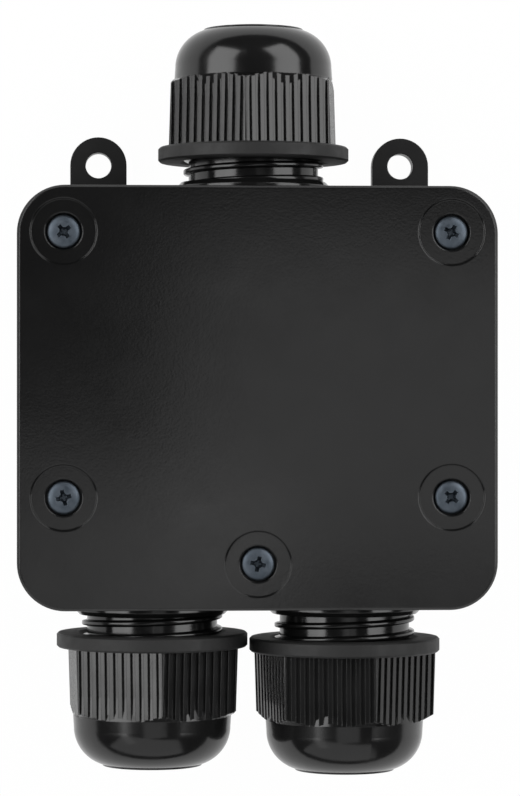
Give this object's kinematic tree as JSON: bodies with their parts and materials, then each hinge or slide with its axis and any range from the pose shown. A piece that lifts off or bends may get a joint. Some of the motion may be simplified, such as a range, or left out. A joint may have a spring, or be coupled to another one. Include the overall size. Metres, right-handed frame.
{
  "type": "pv junction box",
  "caption": "Black moulded waterproof cable junction box with a screwed lid, ribbed cap nuts on threaded spigots, nested cable seals and a terminal block inside",
  "frame": {"origin": "centre of the housing's flat back face, ears left out", "axes": "+Z out through the lid, +Y towards the mounting ears and the single gland, +X to the right seen from the lid side"},
  "size_m": [0.09, 0.1426, 0.0382],
  "materials": {
    "black_nylon": "fine satin grain",
    "gloss_nylon": "glossy moulded",
    "claw_nylon": "moulded",
    "white_nylon": "natural moulded nylon",
    "black_rubber": "soft matt",
    "blue_zinc_steel": "dark blue passivated zinc",
    "zinc_steel": "bright zinc",
    "brass": "turned"
  },
  "bodies": {
    "housing": {"housing_base": "black_nylon", "terminal_block": "white_nylon", "terminal_sleeve_1": "brass", "terminal_sleeve_2": "brass", "terminal_sleeve_3": "brass", "block_screw_1": "zinc_steel", "block_screw_2": "zinc_steel"},
    "cover": {"lid": "black_nylon", "lid_gasket": "black_rubber"},
    "screw_1": {"lid_screw_1": "blue_zinc_steel"},
    "screw_2": {"lid_screw_2": "blue_zinc_steel"},
    "screw_3": {"lid_screw_3": "blue_zinc_steel"},
    "screw_4": {"lid_screw_4": "blue_zinc_steel"},
    "screw_5": {"lid_screw_5": "blue_zinc_steel"},
    "insert_top": {"clamp_cage_top": "claw_nylon", "outer_seal_top": "black_rubber", "inner_seal_top": "black_rubber"},
    "insert_lower_left": {"clamp_cage_lower_left": "claw_nylon", "outer_seal_lower_left": "black_rubber", "inner_seal_lower_left": "black_rubber"},
    "insert_lower_right": {"clamp_cage_lower_right": "claw_nylon", "outer_seal_lower_right": "black_rubber", "inner_seal_lower_right": "black_rubber"},
    "nut_top": {"cap_nut_top": "gloss_nylon"},
    "nut_lower_left": {"cap_nut_lower_left": "gloss_nylon"},
    "nut_lower_right": {"cap_nut_lower_right": "gloss_nylon"},
    "wire_screw_1": {"terminal_screw_1": "zinc_steel"},
    "wire_screw_2": {"terminal_screw_2": "zinc_steel"},
    "wire_screw_3": {"terminal_screw_3": "zinc_steel"},
    "wire_screw_4": {"terminal_screw_4": "zinc_steel"},
    "wire_screw_5": {"terminal_screw_5": "zinc_steel"},
    "wire_screw_6": {"terminal_screw_6": "zinc_steel"}
  },
  "joints": [
    {"name": "lid_lift", "type": "slide", "parent": "housing", "child": "cover", "axis": [0, 0, 1], "range_m": [0, 0.06]},
    {"name": "lid_screw_1_out", "type": "slide", "parent": "cover", "child": "screw_1", "axis": [0, 0, 1], "range_m": [0, 0.013]},
    {"name": "lid_screw_2_out", "type": "slide", "parent": "cover", "child": "screw_2", "axis": [0, 0, 1], "range_m": [0, 0.013]},
    {"name": "lid_screw_3_out", "type": "slide", "parent": "cover", "child": "screw_3", "axis": [0, 0, 1], "range_m": [0, 0.013]},
    {"name": "lid_screw_4_out", "type": "slide", "parent": "cover", "child": "screw_4", "axis": [0, 0, 1], "range_m": [0, 0.013]},
    {"name": "lid_screw_5_out", "type": "slide", "parent": "cover", "child": "screw_5", "axis": [0, 0, 1], "range_m": [0, 0.013]},
    {"name": "insert_top_slide", "type": "slide", "parent": "housing", "child": "insert_top", "axis": [0, 1, 0], "range_m": [-0.00335, 0.008]},
    {"name": "nut_top_turn", "type": "hinge", "parent": "insert_top", "child": "nut_top", "pos_m": [0, 0.0454, 0.0188], "axis": [0, 1, 0], "range_deg": [-450, 1080]},
    {"name": "insert_lower_left_slide", "type": "slide", "parent": "housing", "child": "insert_lower_left", "axis": [0, -1, 0], "range_m": [-0.003, 0.008]},
    {"name": "nut_lower_left_turn", "type": "hinge", "parent": "insert_lower_left", "child": "nut_lower_left", "pos_m": [-0.0195, -0.04495, 0.0188], "axis": [0, -1, 0], "range_deg": [-400, 1080]},
    {"name": "insert_lower_right_slide", "type": "slide", "parent": "housing", "child": "insert_lower_right", "axis": [0, -1, 0], "range_m": [-0.0041, 0.008]},
    {"name": "nut_lower_right_turn", "type": "hinge", "parent": "insert_lower_right", "child": "nut_lower_right", "pos_m": [0.0176, -0.04605, 0.0188], "axis": [0, -1, 0], "range_deg": [-550, 1080]},
    {"name": "wire_screw_1_out", "type": "slide", "parent": "housing", "child": "wire_screw_1", "axis": [0, 0, 1], "range_m": [0, 0.002]},
    {"name": "wire_screw_2_out", "type": "slide", "parent": "housing", "child": "wire_screw_2", "axis": [0, 0, 1], "range_m": [0, 0.002]},
    {"name": "wire_screw_3_out", "type": "slide", "parent": "housing", "child": "wire_screw_3", "axis": [0, 0, 1], "range_m": [0, 0.002]},
    {"name": "wire_screw_4_out", "type": "slide", "parent": "housing", "child": "wire_screw_4", "axis": [0, 0, 1], "range_m": [0, 0.002]},
    {"name": "wire_screw_5_out", "type": "slide", "parent": "housing", "child": "wire_screw_5", "axis": [0, 0, 1], "range_m": [0, 0.002]},
    {"name": "wire_screw_6_out", "type": "slide", "parent": "housing", "child": "wire_screw_6", "axis": [0, 0, 1], "range_m": [0, 0.002]}
  ],
  "couplings": [
    {"joint": "insert_top_slide", "follows": "nut_top_turn", "m_per_rad": 0.00042176},
    {"joint": "insert_lower_left_slide", "follows": "nut_lower_left_turn", "m_per_rad": 0.00042176},
    {"joint": "insert_lower_right_slide", "follows": "nut_lower_right_turn", "m_per_rad": 0.00042176}
  ]
}
